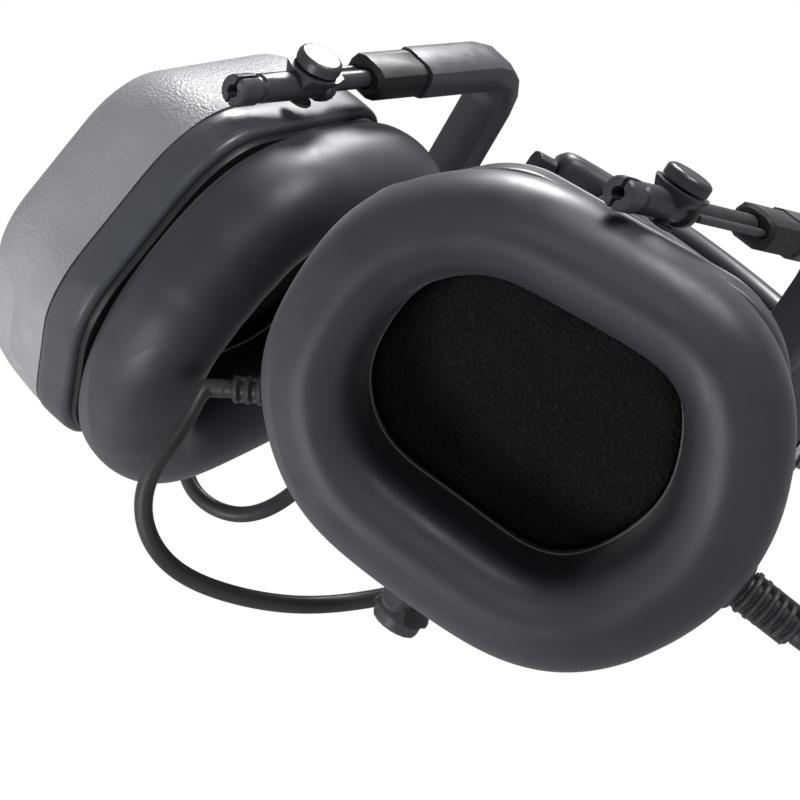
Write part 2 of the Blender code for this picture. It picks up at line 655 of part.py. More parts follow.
def build_power_button(cup, material):
    """Round push button that stands proud of the outer plate by more than its travel."""
    profile = ((4.6, 0.0), (4.6, 1.9), (3.9, 2.6))
    depth = SHELL_END - OUTER_PLATE_THICK - 2 * GAP - BUTTON_TRAVEL
    place = cup.depth_axis(depth, BUTTON_UP, 0.0) @ Matrix.Rotation(math.pi, 4, "X")
    return cup.add("power_button", turned(profile, 20), material, place)


def build_battery_cap(cup, material):
    """Coin-slot battery cap on the outer plate."""
    profile = ((11.0, 0.0), (11.0, 1.8), (10.0, 2.6))
    depth = SHELL_END - OUTER_PLATE_THICK - 2 * GAP
    place = cup.depth_axis(depth, BATTERY_CAP_UP, 0.0) @ Matrix.Rotation(math.pi, 4, "X")
    cap = cup.add("battery_cap", turned(profile, 28), material, place)
    slot = cup.add("battery_cap_slot_cutter", box((0.0, 0.0, 3.0), (14.0, 1.8, 2.4)), material, place)
    combine(cap, slot, "DIFFERENCE")


# ---------------------------------------------------------------- assembly


def build_side(side, out, facing, turn, twist, slid_in, materials, link_points):
    hinge_place = band_point(out * FLEX_ANGLE, BAND_RADIUS)
    hinge = add_empty(f"{side}_band_hinge", hinge_place, twist)
    pivot_place = Vector((out * PIVOT_SPACING / 2, -PIVOT_DROP, 0.0)) - hinge_place
    slid_place = pivot_place + Vector((0.0, slid_in, 0.0))
    band = add_empty(f"{side}_band_frame", pivot_place, parent=hinge)
    arms = add_empty(f"{side}_arm_frame", slid_place, parent=hinge)
    pivot = add_empty(f"{side}_cup_pivot", slid_place, (0.0, 0.0, turn), hinge)
    cup = Cup(side, facing, pivot)
    build_shell(cup, materials["shell"])
    build_trim_ring(cup, materials["trim"])
    build_cushion_plate(cup, materials["black"])
    build_baffle(cup, materials["black"])
    build_cushion(cup, materials["cushion"])
    build_foam(cup, materials["foam"])
    build_speaker(cup, materials["steel"])
    build_outer_plate(cup, materials["trim"])
    build_pivot_caps(cup, materials["arm"])
    build_link_boot(cup, materials["rubber"])
    rear = Matrix.Rotation(math.pi, 4, "Y")
    for place, matrix, sign in (("front", Matrix.Identity(4), 1.0), ("rear", rear, -1.0)):
        build_arm(side, place, out * sign, arms, matrix, materials["arm"])
        build_sleeve(side, place, out * sign, band, matrix, materials["black"])
    build_yoke(side, out, band, materials["trim"])
    build_side_strip(side, out, band, materials["steel"], materials["steel"])
    to_cup = Matrix.Rotation(-turn, 3, "Z")
    build_link_cable(cup, [to_cup @ Vector(p) for p in link_points], materials["cable"])
    return cup


def main():
    clear_scene()
    materials = {
        "shell": make_material("shell_plastic", (0.13, 0.13, 0.135), 0.6),
        "trim": make_material("trim_plastic", (0.045, 0.047, 0.055), 0.35),
        "black": make_material("black_plastic", (0.015, 0.015, 0.017), 0.5),
        "arm": make_material("arm_coating", (0.05, 0.05, 0.053), 0.4),
        "steel": make_material("spring_steel", (0.35, 0.35, 0.36), 0.35, 1.0),
        "cushion": make_material("cushion_vinyl", (0.045, 0.045, 0.048), 0.5),
        "foam": make_material("acoustic_foam", (0.01, 0.01, 0.01), 0.95),
        "rubber": make_material("boot_rubber", (0.03, 0.03, 0.032), 0.55),
        "cable": make_material("cable_jacket", (0.04, 0.04, 0.042), 0.5),
        "board": make_material("circuit_board", (0.02, 0.12, 0.05), 0.5),
        "brass": make_material("plug_brass", (0.7, 0.55, 0.25), 0.25, 1.0),
    }
    build_crown(materials["steel"], materials["cushion"], materials["cushion"], materials["black"])
    left = build_side("left", -1.0, 1.0, LEFT_CUP_TURN, LEFT_BAND_TWIST, LEFT_ARM_IN, materials,
                      LEFT_LINK_POINTS)
    right = build_side("right", 1.0, -1.0, RIGHT_CUP_TURN, (0.0, 0.0, 0.0), 0.0, materials,
                       RIGHT_LINK_POINTS)
    build_lead(right, materials["rubber"], materials["cable"], materials["black"], materials["brass"])
    build_electronics(right, materials["board"])
    build_volume_knob(right, materials["black"])
    build_power_button(right, materials["rubber"])
    build_battery(left, materials["steel"])
    build_battery_cap(left, materials["black"])


main()
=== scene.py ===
"""Looks of the radio headphones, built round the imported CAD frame."""

import json
import math

import bmesh
import bpy
import numpy as np
from mathutils import Matrix, Quaternion, Vector


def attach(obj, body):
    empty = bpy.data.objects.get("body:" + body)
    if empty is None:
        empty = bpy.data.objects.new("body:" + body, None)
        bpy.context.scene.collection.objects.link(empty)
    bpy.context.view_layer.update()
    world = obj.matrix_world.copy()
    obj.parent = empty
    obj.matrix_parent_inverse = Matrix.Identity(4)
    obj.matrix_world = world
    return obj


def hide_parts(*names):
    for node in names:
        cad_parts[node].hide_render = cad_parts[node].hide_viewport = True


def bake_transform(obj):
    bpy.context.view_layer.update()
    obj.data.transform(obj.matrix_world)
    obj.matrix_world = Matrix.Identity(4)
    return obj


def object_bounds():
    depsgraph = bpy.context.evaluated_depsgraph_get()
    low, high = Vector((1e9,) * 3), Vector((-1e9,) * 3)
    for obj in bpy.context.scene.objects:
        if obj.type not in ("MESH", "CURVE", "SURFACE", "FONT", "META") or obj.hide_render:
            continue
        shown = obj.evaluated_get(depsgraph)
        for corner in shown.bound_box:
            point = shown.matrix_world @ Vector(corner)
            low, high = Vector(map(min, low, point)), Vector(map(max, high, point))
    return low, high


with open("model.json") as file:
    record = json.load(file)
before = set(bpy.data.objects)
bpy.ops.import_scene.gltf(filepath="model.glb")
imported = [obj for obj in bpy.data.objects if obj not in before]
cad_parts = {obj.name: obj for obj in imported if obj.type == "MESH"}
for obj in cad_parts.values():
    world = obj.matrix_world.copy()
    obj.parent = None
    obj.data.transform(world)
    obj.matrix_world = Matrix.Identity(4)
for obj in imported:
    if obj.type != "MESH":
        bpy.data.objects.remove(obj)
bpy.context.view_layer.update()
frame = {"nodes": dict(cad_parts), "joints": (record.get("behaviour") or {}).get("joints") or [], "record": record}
RECORD = frame["record"]
JOINTS = {joint["name"]: joint for joint in frame["joints"]}
NODE_BODY = {n: body for body, nodes in RECORD["behaviour"]["bodies"].items() for n in nodes}
NODE_SLOT = {row["node"]: row["material_slot"] for row in RECORD["subparts"]}
MM = 0.001

# Ear cup outline, as in the CAD (millimetres)
CUP_TOP = 53.8
CUP_TOP_HALF = 19.0
CUP_SHOULDER = 31.0
CUP_SHOULDER_HALF = 41.8
CUP_CHIN = -35.0
CUP_CHIN_HALF = 45.8
CUP_TIP = -57.5
SOFT_RADII = (14.0, 22.0, 32.0, 40.0)
HARD_RADII = (14.0, 22.0, 26.0, 26.0)
MIN_CORNER_RADIUS = 7.0

# Points round a ring of a cup part and round a ring of a cushion, and steps in each corner
AROUND = 168
CUSHION_AROUND = 112
CORNER_STEPS = 10

# Padded parts of a cup (millimetres): softened bends, share of the inset that rings rise, seam and foam
SOFT_REACH = 10.0
SOFT_REACH_DROP = 0.2
OPENING_LIFT = 0.06
OPENING_INSET = 20.4
SEAM_DEPTH = 10.0
SEAM_RADIUS = 0.34
SEAM_STANDOFF = 0.12
FOAM_FACE = 7.2

# Cloth simulation of the cushions: they are held below a depth and move up to a limit (millimetres)
PINNED_DEPTH = 7.5
CLOTH_PRESSURE = 4.0
CLOTH_STIFFNESS = 30.0
CLOTH_BENDING = 1.5
CLOTH_FRAMES = 20
CLOTH_LIMIT = 1.2

# Folds of the cushions: places (degrees from the tip towards the front) and depths, then their shape
FOLDS = {"left": ((14.0, 1.3), (27.0, 1.7), (41.0, 1.5), (-20.0, 1.2), (-38.0, 0.9)),
         "right": ((24.0, 0.35), (-26.0, 0.3))}
FOLD_START = 9.0
FOLD_FADE = (12.0, 22.0)
FOLD_WIDTH = 2.2
FOLD_WANDER = 3.0
FOLD_SHARE = 0.45

# Cable boots and cables, as in the CAD (millimetres)
LINK_BOOT_ROOT = (-12.0, 46.2, -31.0)
LINK_BOOT_DIRECTION = (0.0, 0.86, -0.51)
LINK_BOOT_LENGTH = 14.0
LEAD_BOOT_ROOT = (-12.0, -55.0, -12.0)
LEAD_BOOT_DIRECTION = (0.0, -1.0, -0.09)
LEAD_BOOT_LENGTH = 21.0
LINK_RADIUS = 2.0
LEAD_RADIUS = 2.3
LINK_LEAD_IN = (1.2, 4.5)
LINK_POINTS = {
    "right": ((-54.0, -24.0, -47.0), (-55.0, -27.0, -57.0), (-52.0, -25.0, -68.0),
              (-44.0, -19.0, -75.0), (-36.0, -8.0, -76.0), (-26.0, 7.0, -73.0), (-22.0, 26.0, -69.0),
              (-12.0, 34.0, -57.0), (-12.5, 54.0, -52.0), (-11.5, 65.5, -50.0), (-6.4, 68.0, -49.6)),
    "left": ((-17.0, 56.0, -52.0), (-10.0, 44.0, -63.0), (-2.0, 34.0, -72.0), (9.0, 31.0, -75.0),
             (21.0, 34.0, -72.0), (26.0, 40.0, -64.0), (24.0, 52.0, -56.0), (14.5, 60.5, -50.5),
             (6.2, 62.0, -49.6)),
}
LEAD_POINTS = ((-12.0, -88.0, -15.5), (-12.0, -100.0, -17.0), (-6.0, -122.0, -18.0), (14.0, -136.0, -18.0),
               (40.0, -138.0, -18.0), (66.0, -132.0, -18.0))

# Detail of the boots and of the link cords' thicker ends (millimetres and points)
BOOT_OVERLAP = 1.5
BOOT_STEPS = 44
LINK_END_SLEEVE = 0.55
LINK_TIP_SLEEVE = 0.2
LINK_END_POINTS = 8

# Headband, as in the CAD (millimetres)
BAND_RADIUS = 62.0
COVER_THICK = 9.0
COVER_WIDTH = 40.0
COVER_ANGLE = math.radians(50.0)
COVER_STEPS = 11
BAND_CENTRE_Y = -(BAND_RADIUS + COVER_THICK / 2) * math.cos(COVER_ANGLE / COVER_STEPS)

# Crown cushion, stitches and bending sleeves of the headband (millimetres)
PAD_THICK = 7.0
PAD_WIDTH = 34.0
PAD_ANGLE = math.radians(38.0)
PAD_DROP = 3.9
PAD_CHANNELS = 5
STITCH_ANGLE = math.radians(46.0)
STITCH_PITCH = 3.0
STITCH_EDGE = 4.2
BEND_START = math.radians(56.6)
BEND_END = math.radians(64.0)
BEND_STEPS = 24


# ---------------------------------------------------------------- local frames


class Side:
    """Axes and pivot of one side, read from the record's joints."""

    def __init__(self, name):
        self.name = name
        tilt = JOINTS[f"{name}_cup_tilt"]
        self.pivot = Vector(tilt["pos_m"])
        self.front = Vector(tilt["axis"]).normalized()
        self.arm_up = Vector(JOINTS[f"{name}_arm_slide"]["axis"]).normalized()
        self.arm_out = self.arm_up.cross(self.front)
        ear_joint = "battery_cap_turn" if name == "left" else "volume_turn"
        self.ear = Vector(JOINTS[ear_joint]["axis"]).normalized()
        self.up = self.front.cross(self.ear) if name == "left" else self.ear.cross(self.front)
        self.cup_body = f"{name}_cup"
        self.arm_body = f"{name}_arms"
        self.band_body = f"{name}_band"

    def cup(self, depth, up, front):
        """World point of a cup coordinate given in millimetres."""
        return self.pivot + (self.ear * depth + self.up * up + self.front * front) * MM

    def cup_direction(self, vector):
        """World direction of a (depth, up, front) direction."""
        depth, up, front = vector
        return (self.ear * depth + self.up * up + self.front * front).normalized()

    def arm(self, out, up, front):
        """World point of an arm coordinate given in millimetres."""
        return self.pivot + (self.arm_out * out + self.arm_up * up + self.front * front) * MM


LEFT = Side("left")
RIGHT = Side("right")


# ---------------------------------------------------------------- mesh helpers


def finish_mesh(name, data, body, look, replaced=()):
    """Turn a bmesh in world metres into a smooth piece, which rides on a body if one is given."""
    bmesh.ops.recalc_face_normals(data, faces=data.faces)
    mesh = bpy.data.meshes.new(name)
    data.to_mesh(mesh)
    data.free()
    mesh.shade_smooth()
    mesh.materials.append(look)
    piece = bpy.data.objects.new(name, mesh)
    bpy.context.scene.collection.objects.link(piece)
    if body is not None:
        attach(piece, body)
    if replaced:
        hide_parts(*replaced)
    return piece


def loft(rings, closed=False, data=None, caps=True):
    """Skin over rings of equal length, closed on itself or capped at both ends."""
    data = data or bmesh.new()
    verts = [[data.verts.new(p) for p in ring] for ring in rings]
    pairs = list(zip(verts, verts[1:]))
    if closed:
        pairs.append((verts[-1], verts[0]))
    count = len(verts[0])
    for low, high in pairs:
        for i in range(count):
            j = (i + 1) % count
            data.faces.new((low[i], low[j], high[j], high[i]))
    if not closed and caps:
        data.faces.new(verts[0])
        data.faces.new(verts[-1])
    return data


def spline(points, steps, closed=False):
    """Catmull-Rom curve through points of any dimension."""
    points = [Vector(p) for p in points]
    if closed:
        points = [points[-1]] + points + [points[0], points[1]]
    else:
        points = [2 * points[0] - points[1]] + points + [2 * points[-1] - points[-2]]
    path = []
    for p0, p1, p2, p3 in zip(points, points[1:], points[2:], points[3:]):
        for i in range(steps):
            t = i / steps
            path.append(0.5 * (2 * p1 + (p2 - p0) * t + (2 * p0 - 5 * p1 + 4 * p2 - p3) * t * t
                               + (3 * p1 - p0 - 3 * p2 + p3) * t ** 3))
    if not closed:
        path.append(points[-2])
    return path


def round_corners(corners, radii):
    """Outline whose corners are arcs of the given radii."""
    outline = []
    for i in range(len(corners)):
        corner = corners[i]
        before = (corners[i - 1] - corner).normalized()
        after = (corners[(i + 1) % len(corners)] - corner).normalized()
        half = before.angle(after) / 2
        centre = corner + (before + after).normalized() * (radii[i] / math.sin(half))
        first = corner + before * (radii[i] / math.tan(half)) - centre
        arc = math.pi - 2 * half
        for k in range(CORNER_STEPS + 1):
            angle = arc * k / CORNER_STEPS
            outline.append(centre + Vector((first.x * math.cos(angle) - first.y * math.sin(angle),
                                            first.x * math.sin(angle) + first.y * math.cos(angle))))
    return outline


def inset_corners(corners, inset):
    """Corners of the same outline with its sides moved inward."""
    lines = []
    for i in range(len(corners)):
        start = Vector(corners[i])
        along = (Vector(corners[(i + 1) % len(corners)]) - start).normalized()
        lines.append((start + Vector((-along.y, along.x)) * inset, along))
    moved = []
    for i in range(len(corners)):
        point_a, along_a = lines[i - 1]
        point_b, along_b = lines[i]
        cross = along_a.x * along_b.y - along_a.y * along_b.x
        offset = point_b - point_a
        moved.append(point_a + along_a * ((offset.x * along_b.y - offset.y * along_b.x) / cross))
    return moved


def resample(outline, count):
    """Evenly spaced points round a closed outline."""
    closed = np.array([tuple(p) for p in outline] + [tuple(outline[0])])
    lengths = np.r_[0.0, np.cumsum(np.linalg.norm(np.diff(closed, axis=0), axis=1))]
    stations = np.linspace(0.0, lengths[-1], count, endpoint=False)
    return np.stack([np.interp(stations, lengths, closed[:, k]) for k in range(2)], 1)


def cup_outline(inset, radii, count):
    """Rounded cup outline as an array of (front, up) points."""
    corners = ((CUP_TOP_HALF, CUP_TOP), (-CUP_TOP_HALF, CUP_TOP), (-CUP_SHOULDER_HALF, CUP_SHOULDER),
               (-CUP_CHIN_HALF, CUP_CHIN), (0.0, CUP_TIP), (CUP_CHIN_HALF, CUP_CHIN),
               (CUP_SHOULDER_HALF, CUP_SHOULDER))
    top, shoulder, chin, tip = (max(radius - inset, MIN_CORNER_RADIUS) for radius in radii)
    order = (top, top, shoulder, chin, tip, chin, shoulder)
    return resample(round_corners(inset_corners(corners, inset), order), count)


def cup_ring(side, inset, depth):
    """Cup ring with the tight bends of the hard parts."""
    return [side.cup(depth, up, front) for front, up in cup_outline(inset, HARD_RADII, AROUND)]


def soften(outline, reach):
    """Blur the bends of a closed outline over a reach in millimetres, keeping its mean size."""
    size = np.abs(outline).mean()
    spacing = np.linalg.norm(np.diff(outline, axis=0), axis=1).mean()
    for _ in range(round(2.0 * (reach / spacing) ** 2)):
        outline = outline * 0.5 + (np.roll(outline, 1, axis=0) + np.roll(outline, -1, axis=0)) * 0.25
    return outline * (size / np.abs(outline).mean())


def soft_ring(side, inset, depth, count):
    """Cup ring with the generous bends of padded leather, tighter and higher towards the opening."""
    outline = soften(cup_outline(inset, SOFT_RADII, count), SOFT_REACH - SOFT_REACH_DROP * inset)
    return [side.cup(depth, up + OPENING_LIFT * inset, front) for front, up in outline]


def sweep(path, section, first_side):
    """Rings of a flat section carried square to a path."""
    rings = []
    side = Vector(first_side)
    for i, point in enumerate(path):
        tangent = (path[min(i + 1, len(path) - 1)] - path[max(i - 1, 0)]).normalized()
        side = (side - tangent * side.dot(tangent)).normalized()
        across = tangent.cross(side)
        rings.append([point + across * x + side * y for x, y in section])
    return rings


def circle(radius, steps):
    """Points of a circle round the origin."""
    return [(radius * math.cos(2 * math.pi * i / steps), radius * math.sin(2 * math.pi * i / steps))
            for i in range(steps)]


def relax(path, fixed, passes):
    """Even out the bends of a path, leaving a few points at each end."""
    for _ in range(passes):
        moved = list(path)
        for i in range(fixed, len(path) - fixed):
            moved[i] = path[i] * 0.5 + (path[i - 1] + path[i + 1]) * 0.25
        path = moved
    return path


def turned(profile, origin, direction, steps):
    """Turned solid: (radius, height) pairs in millimetres along a direction from an origin in metres."""
    turn = Vector(direction).to_track_quat("Z", "Y").to_matrix()
    rings = []
    for radius, height in profile:
        rings.append([origin + turn @ Vector((x, y, height)) * MM for x, y in circle(radius, steps)])
    return loft(rings)


def tube(path, radius, steps, data=None):
    """Round tube along a path in metres; radius in millimetres, one number or one per point."""
    radii = radius if isinstance(radius, (list, tuple)) else [radius] * len(path)
    unit = sweep(path, circle(1.0, steps), (0.13, 0.21, 0.97))
    rings = [[centre + (p - centre) * (r * MM) for p in ring] for ring, centre, r in zip(unit, path, radii)]
    return loft(rings, data=data)


def rounded_rectangle(width, height, radius, steps):
    """Points of a rectangle round the origin, with arcs at its corners."""
    corners = []
    for sign_x, sign_y, start in ((1, 1, 0), (-1, 1, 90), (-1, -1, 180), (1, -1, 270)):
        for i in range(steps + 1):
            angle = math.radians(start + 90.0 * i / steps)
            corners.append((sign_x * (width / 2 - radius) + radius * math.cos(angle),
                            sign_y * (height / 2 - radius) + radius * math.sin(angle)))
    return corners


def refine(node, look, bevel):
    """A rounded, smooth-shaded piece made from a CAD node, in that node's place."""
    data = bmesh.new()
    data.from_mesh(frame["nodes"][node].data)
    for face in data.faces:
        face.material_index = 0
    bmesh.ops.remove_doubles(data, verts=data.verts, dist=2e-6)
    bmesh.ops.dissolve_limit(data, angle_limit=math.radians(1.2), verts=data.verts, edges=data.edges)
    piece = finish_mesh(f"{node}_finish", data, None, look)
    cad_normals = piece.data.attributes.get("custom_normal")
    if cad_normals is not None:
        piece.data.attributes.remove(cad_normals)
    modifier = piece.modifiers.new("rounded edges", "BEVEL")
    modifier.width = bevel * MM
    modifier.segments = 2
    modifier.limit_method = "ANGLE"
    modifier.angle_limit = math.radians(32.0)
    modifier.harden_normals = True
    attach(piece, NODE_BODY[node])
    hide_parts(node)
    return piece


# ---------------------------------------------------------------- looks


class Graph:
    """Small helper that adds and links shader nodes."""

    def __init__(self, name):
        self.material = bpy.data.materials.new(name)
        self.material.use_nodes = True
        self.tree = self.material.node_tree
        self.shader = self.tree.nodes["Principled BSDF"]
        self.coords = self.tree.nodes.new("ShaderNodeTexCoord").outputs["Object"]

    def plug(self, socket, value):
        """Link another node's output to a socket, or set the socket's own value."""
        if isinstance(value, bpy.types.NodeSocket):
            self.tree.links.new(value, socket)
        else:
            socket.default_value = value

    def add(self, kind, inputs=(), **settings):
        node = self.tree.nodes.new(kind)
        for key, value in settings.items():
            setattr(node, key, value)
        for key, value in dict(inputs).items():
            self.plug(node.inputs[key], value)
        return node

    def noise(self, scale, detail=3.0, roughness=0.55):
        return self.add("ShaderNodeTexNoise", {"Vector": self.coords, "Scale": scale, "Detail": detail,
                                               "Roughness": roughness}).outputs["Fac"]

    def cells(self, scale):
        return self.add("ShaderNodeTexVoronoi", {"Vector": self.coords, "Scale": scale}).outputs["Distance"]

    def remap(self, value, low, high, to_low, to_high):
        return self.add("ShaderNodeMapRange", {"Value": value, "From Min": low, "From Max": high,
                                               "To Min": to_low, "To Max": to_high}).outputs["Result"]

    def mix(self, factor, first, second):
        node = self.add("ShaderNodeMix", data_type="RGBA")
        for index, value in ((0, factor), (6, first), (7, second)):
            self.plug(node.inputs[index], value)
        return node.outputs[2]

    def maths(self, operation, first, second):
        node = self.add("ShaderNodeMath", operation=operation)
        for socket, value in zip(node.inputs, (first, second)):
            self.plug(socket, value)
        return node.outputs[0]

    def set(self, key, value):
        self.plug(self.shader.inputs[key], value)

    def bump(self, height, distance):
        node = self.add("ShaderNodeBump", {"Height": height, "Distance": distance, "Strength": 1.0})
        self.set("Normal", node.outputs["Normal"])


def rgba(colour):
    """Opaque colour."""
    return (*colour, 1.0)


def shade(colour, factor):
    """Lighter or darker colour."""
    return tuple(min(1.0, c * factor) for c in colour)


SPECULAR = 0.5
ROUGHNESS_SPREAD = 0.07
# Reach in metres of the painted shade in hollows: how far the ambient occlusion looks for nearby surfaces
HOLLOW_SHADE_REACH = 0.09


def make_look(name, colour, roughness, grain, grain_height, variation=0.18, wear=0.0,
              metallic=0.0, sheen=0.0, patch=60.0, leather=False, hollow_shade=0.0):
    """Procedural finish: patchy colour, rough-to-smooth variation, fine grain, worn edges, painted shade in
    hollows.
    """
    g = Graph(name)
    patches = g.noise(patch, 4.0)
    dark = rgba(shade(colour, 1.0 - variation))
    light = rgba(shade(colour, 1.0 + variation))
    tint = g.mix(g.remap(patches, 0.3, 0.7, 0.0, 1.0), dark, light)
    if wear > 0.0:
        edge = g.add("ShaderNodeNewGeometry").outputs["Pointiness"]
        rubbed = g.maths("MULTIPLY", g.remap(edge, 0.53, 0.62, 0.0, wear), g.noise(300.0, 4.0))
        tint = g.mix(rubbed, tint, rgba(shade(colour, 4.0)))
    if hollow_shade > 0.0:
        # Painted shade: where ambient occlusion finds the surface enclosed, as inside the cushion's opening and
        # between the cups, the colour is mixed towards near black and the specular is lowered.
        openness = g.add("ShaderNodeAmbientOcclusion", {"Distance": HOLLOW_SHADE_REACH}, samples=8).outputs["AO"]
        tint = g.mix(g.remap(openness, 0.35, 0.85, hollow_shade, 0.0), tint, rgba(shade(colour, 0.08)))
        g.set("Specular IOR Level", g.remap(openness, 0.3, 0.75, SPECULAR * (1.0 - hollow_shade), SPECULAR))
    else:
        g.set("Specular IOR Level", SPECULAR)
    g.set("Base Color", tint)
    g.set("Metallic", metallic)
    g.set("Roughness", g.remap(g.noise(patch * 4.0, 5.0), 0.3, 0.7, roughness - ROUGHNESS_SPREAD,
                               roughness + ROUGHNESS_SPREAD))
    if sheen > 0.0:
        g.set("Sheen Weight", sheen)
        g.set("Sheen Roughness", 0.4)
    fine = g.noise(grain, 2.0)
    if leather:
        folds = g.cells(grain * 0.6)
        fine = g.maths("ADD", g.maths("MULTIPLY", fine, 0.6), g.maths("MULTIPLY", folds, 0.9))
    g.bump(fine, grain_height * MM)
    return g.material


LOOK = {
    "shell": make_look("shell_look", (0.36, 0.36, 0.382), 0.45, grain=1900.0, grain_height=0.15,
                       variation=0.10, leather=True, patch=45.0),
    "trim": make_look("trim_look", (0.080, 0.081, 0.092), 0.34, grain=2400.0, grain_height=0.01,
                      variation=0.08, wear=0.25),
    "black": make_look("black_look", (0.016, 0.016, 0.018), 0.45, grain=1800.0, grain_height=0.02,
                       wear=0.2),
    "arm": make_look("arm_look", (0.075, 0.075, 0.08), 0.33, grain=1600.0, grain_height=0.015,
                     wear=0.6, metallic=0.35),
    "steel": make_look("steel_look", (0.34, 0.34, 0.35), 0.32, grain=900.0, grain_height=0.02,
                       wear=0.3, metallic=1.0),
    # The cushion finish, also used on the crown, carries painted shade in its hollows.
    "cushion": make_look("cushion_look", (0.047, 0.0475, 0.057), 0.42, grain=2600.0, grain_height=0.012,
                         variation=0.10, sheen=0.12, patch=30.0, hollow_shade=0.9),
    "rubber": make_look("rubber_look", (0.036, 0.036, 0.039), 0.42, grain=2000.0, grain_height=0.02,
                        wear=0.3),
    "cable": make_look("cable_look", (0.042, 0.042, 0.045), 0.42, grain=1500.0, grain_height=0.015),
    "board": make_look("board_look", (0.02, 0.12, 0.05), 0.45, grain=500.0, grain_height=0.05),
    "brass": make_look("brass_look", (0.7, 0.55, 0.25), 0.22, grain=1500.0, grain_height=0.01,
                       metallic=1.0),
    "thread": make_look("thread_look", (0.13, 0.13, 0.138), 0.6, grain=5000.0, grain_height=0.06,
                        sheen=0.2),
}


def foam_look():
    """Open-cell foam: near black, with speckles and deep pores."""
    g = Graph("foam_look")
    pores = g.cells(900.0)
    speck = g.remap(g.noise(1500.0, 4.0, 0.7), 0.5, 0.72, 0.0, 1.0)
    base = g.mix(g.remap(g.noise(90.0), 0.3, 0.7, 0.0, 1.0), rgba((0.007, 0.007, 0.0075)),
                 rgba((0.012, 0.012, 0.013)))
    g.set("Base Color", g.mix(speck, base, rgba((0.026, 0.026, 0.028))))
    g.set("Roughness", 0.97)
    g.set("Specular IOR Level", 0.2)
    g.bump(g.maths("ADD", pores, g.noise(1700.0, 2.0)), 0.35 * MM)
    return g.material


LOOK["foam"] = foam_look()


# ---------------------------------------------------------------- ear cups


def build_shell(side):
    """Outer shell with a rolled outer edge and an open side towards the ear."""
    outer = spline(((1.4, -4.8), (1.7, -8.0), (2.3, -12.5), (3.0, -16.5), (4.2, -20.4), (5.6, -23.3),
                    (7.4, -25.5), (9.4, -26.7), (11.5, -27.0)), 4)
    rings = [cup_ring(side, inset, depth) for inset, depth in outer]
    inner = [cup_ring(side, inset, depth) for inset, depth in ((13.9, -24.6), (6.6, -19.0), (3.8, -4.8))]
    data = loft(rings, caps=False)
    data.verts.ensure_lookup_table()
    first = [data.verts[i] for i in range(AROUND)]
    last = [data.verts[len(data.verts) - AROUND + i] for i in range(AROUND)]
    data.faces.new(last)
    inside = [[data.verts.new(p) for p in ring] for ring in inner]
    for low, high in ((inside[0], inside[1]), (inside[1], inside[2]), (inside[2], first)):
        for i in range(AROUND):
            j = (i + 1) % AROUND
            data.faces.new((low[i], low[j], high[j], high[i]))
    data.faces.new(inside[0])
    piece = finish_mesh(f"{side.name}_shell_skin", data, side.cup_body, LOOK["shell"],
                        [f"{side.name}_shell"])
    piece.data.set_sharp_from_angle(angle=math.radians(40.0))


def build_trim(side):
    """Satin band with rounded edges."""
    profile = ((1.9, -4.5), (1.3, -4.3), (1.05, -3.7), (0.95, -1.5), (0.95, 1.5), (1.0, 3.0), (1.2, 3.9),
               (1.9, 4.4), (2.8, 4.5), (5.5, 4.5), (5.5, -4.5))
    rings = [cup_ring(side, inset, depth) for inset, depth in profile]
    piece = finish_mesh(f"{side.name}_trim_band", loft(rings, closed=True), side.cup_body, LOOK["trim"],
                        [f"{side.name}_trim_ring"])
    piece.data.set_sharp_from_angle(angle=math.radians(50.0))


def build_lip(side):
    """Black flange that leaves a dark groove behind the cushion."""
    profile = ((3.0, 4.8), (2.9, 5.5), (3.2, 6.2), (18.5, 6.2), (18.5, 4.8))
    rings = [cup_ring(side, inset, depth) for inset, depth in profile]
    piece = finish_mesh(f"{side.name}_cushion_lip", loft(rings, closed=True), side.cup_body, LOOK["black"],
                        [f"{side.name}_cushion_plate"])
    piece.data.set_sharp_from_angle(angle=math.radians(40.0))


def inflate(piece, pinned):
    """Cloth simulation with inner pressure; no point moves further than a limit."""
    group = piece.vertex_groups.new(name="pinned")
    group.add(pinned, 1.0, "REPLACE")
    rest = np.array([v.co for v in piece.data.vertices])
    cloth = piece.modifiers.new("cloth", "CLOTH")
    cloth.settings.use_pressure = True
    cloth.settings.uniform_pressure_force = CLOTH_PRESSURE
    cloth.settings.vertex_group_mass = "pinned"
    cloth.settings.tension_stiffness = CLOTH_STIFFNESS
    cloth.settings.compression_stiffness = CLOTH_STIFFNESS
    cloth.settings.bending_stiffness = CLOTH_BENDING
    cloth.settings.quality = 5
    cloth.settings.effector_weights.gravity = 0.0
    cloth.point_cache.frame_start = 1
    cloth.point_cache.frame_end = CLOTH_FRAMES
    scene = bpy.context.scene
    for step in range(1, CLOTH_FRAMES + 1):
        scene.frame_set(step)
    evaluated = piece.evaluated_get(bpy.context.evaluated_depsgraph_get())
    moved = np.array([v.co for v in evaluated.data.vertices])
    piece.modifiers.remove(cloth)
    scene.frame_set(1)
    shift = moved - rest
    length = np.linalg.norm(shift, axis=1, keepdims=True)
    print(piece.name, "cloth moved up to", round(float(length.max()) / MM, 2), "mm")
    shift *= np.minimum(1.0, CLOTH_LIMIT * MM / np.maximum(length, 1e-9))
    piece.data.vertices.foreach_set("co", (rest + shift).ravel())
    piece.data.update()


